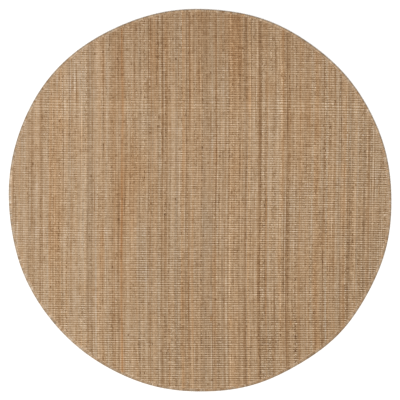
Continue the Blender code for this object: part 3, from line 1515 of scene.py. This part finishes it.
    def spread_map(
        self, nodes: ShapeNodes, stitches: bpy.types.NodeSocket, count: Term
    ) -> bpy.types.NodeSocket:
        """Lays the stitches out on their map, unrolled, in rows one above the other.

        Args:
            nodes: the tree.
            stitches: the socket that gives the stitches.
            count: how many stitches there are.

        Returns:
            The socket that gives the stitches with their map.
        """
        rows = nodes.named("Map Rows", float(self.map_rows))
        turns = nodes.kept("stitch") * rows / count
        row = nodes.math("FLOOR", turns + self.map_nudge)
        u = (turns - row) + (nodes.kept("across") + 1.0) / 2 * (rows / count)
        v = (row + nodes.kept("along") * (1.0 - 2 * self.map_margin) + self.map_margin) / rows
        return nodes.keep(stitches, "OFBake", nodes.vector(u, v), data_type="FLOAT2", domain="CORNER")

    def dye(self, mesh: bpy.types.Mesh) -> None:
        """Gives each stitch its own shade, and its group's warmth.

        Args:
            mesh: the edge's mesh.
        """
        random = np.random.default_rng(self.seed)
        own = random.normal(0.0, self.shade_spread, self.stitches())
        groups = random.normal(0.0, self.group_spread, self.stitches() // self.group_stitches + 1)
        shades = own + np.repeat(groups, self.group_stitches)[: len(own)]
        angles = FULL_TURN * np.arange(len(own)) / len(own)
        reach = self.outline.diameter / 2
        shades += total_trend(self.trends, np.cos(angles) * reach, np.sin(angles) * reach)
        warmths = np.repeat(random.normal(0.0, self.warmth_spread, len(groups)), self.group_stitches)
        stitch = np.rint(stored(mesh, "stitch")).astype(int)
        store(mesh, "shade", shades[stitch])
        store(mesh, "warmth", warmths[stitch])


@dataclass
class Studio:
    """The camera straight above the rug, a pale floor and soft light."""

    picture_width: float = 2.0833
    aim: tuple[float, float] = (-0.0001, 0.0017)
    lens: float = 100.0
    sensor: float = 36.0
    floor_size: float = 60.0
    floor_level: float = -0.0003
    floor_white: Colour = (0.97, 0.965, 0.955)
    floor_roughness: float = 0.9
    sky_white: Colour = (1.0, 1.0, 1.0)
    sky: float = 0.68
    lamp: float = 2.1
    lamp_turn_deg: tuple[float, float, float] = (28.0, -16.0, 0.0)
    lamp_softness_deg: float = 50.0

    def make(self, top: float) -> None:
        """Sets up the whole studio.

        Args:
            top: how high the rug's face is.
        """
        bpy.context.scene.view_settings.view_transform = "Standard"
        self.set_camera(top)
        self.light()
        self.floor()

    def set_camera(self, top: float) -> None:
        """Puts the camera straight above the rug, with +Y at the top of the picture.

        Args:
            top: how high the rug's face is.
        """
        data = bpy.data.cameras.new("camera")
        data.lens = self.lens
        data.sensor_width = self.sensor
        camera = put_in("camera", data)
        camera.location = (*self.aim, top + self.picture_width * self.lens / self.sensor)
        bpy.context.scene.camera = camera

    def light(self) -> None:
        """Lights the rug from all round, and a little more from one side."""
        world = bpy.data.worlds.new("pale_sky")
        world.use_nodes = True
        sky = world.node_tree.nodes["Background"]
        Nodes(world.node_tree).feed_inputs(sky, Color=(*self.sky_white, 1.0), Strength=self.sky)
        bpy.context.scene.world = world
        data = bpy.data.lights.new("soft_lamp", "SUN")
        data.energy = self.lamp
        data.angle = math.radians(self.lamp_softness_deg)
        lamp = put_in("soft_lamp", data)
        lamp.rotation_euler = Euler([math.radians(turn) for turn in self.lamp_turn_deg])

    def floor(self) -> bpy.types.Object:
        """Makes the floor.

        Returns:
            The floor.
        """
        material = bpy.data.materials.new("pale_floor")
        material.use_nodes = True
        Nodes(material.node_tree).feed_inputs(
            material.node_tree.nodes["Principled BSDF"],
            Base_Color=(*self.floor_white, 1.0),
            Roughness=self.floor_roughness,
            Specular_IOR_Level=0.0,
        )
        half = self.floor_size / 2
        corners = [(-half, -half), (half, -half), (half, half), (-half, half)]
        mesh = bpy.data.meshes.new("floor")
        mesh.from_pydata([(x, y, self.floor_level) for x, y in corners], [], [range(len(corners))])
        mesh.materials.append(material)
        return put_in("floor", mesh)


@dataclass
class JuteRug:
    """The whole rug."""

    outline: Outline = Outline()
    weave: Weave = Weave()

    def make(self) -> None:
        """Makes the rug's pieces, attaches them to the body, logs how many faces each has, and hides the
        imported cloth and edge.
        """
        yarns = WovenYarns(self.outline, self.weave).make()
        edge = OvercastEdge(self.outline).make()
        core = ClothCore(self.outline).make()
        for piece in (core, *yarns, edge):
            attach(piece, BODY)
            log.info("%s: %d faces", piece.name, len(piece.data.polygons))
        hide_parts("woven_cloth")
        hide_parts("overcast_edge")


def main() -> None:
    """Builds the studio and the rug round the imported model, and writes how large it became."""
    logging.basicConfig(level=logging.INFO, format="%(message)s")
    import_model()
    rug = JuteRug()
    Studio().make(rug.weave.top)
    rug.make()


if __name__ == "__main__":
    main()
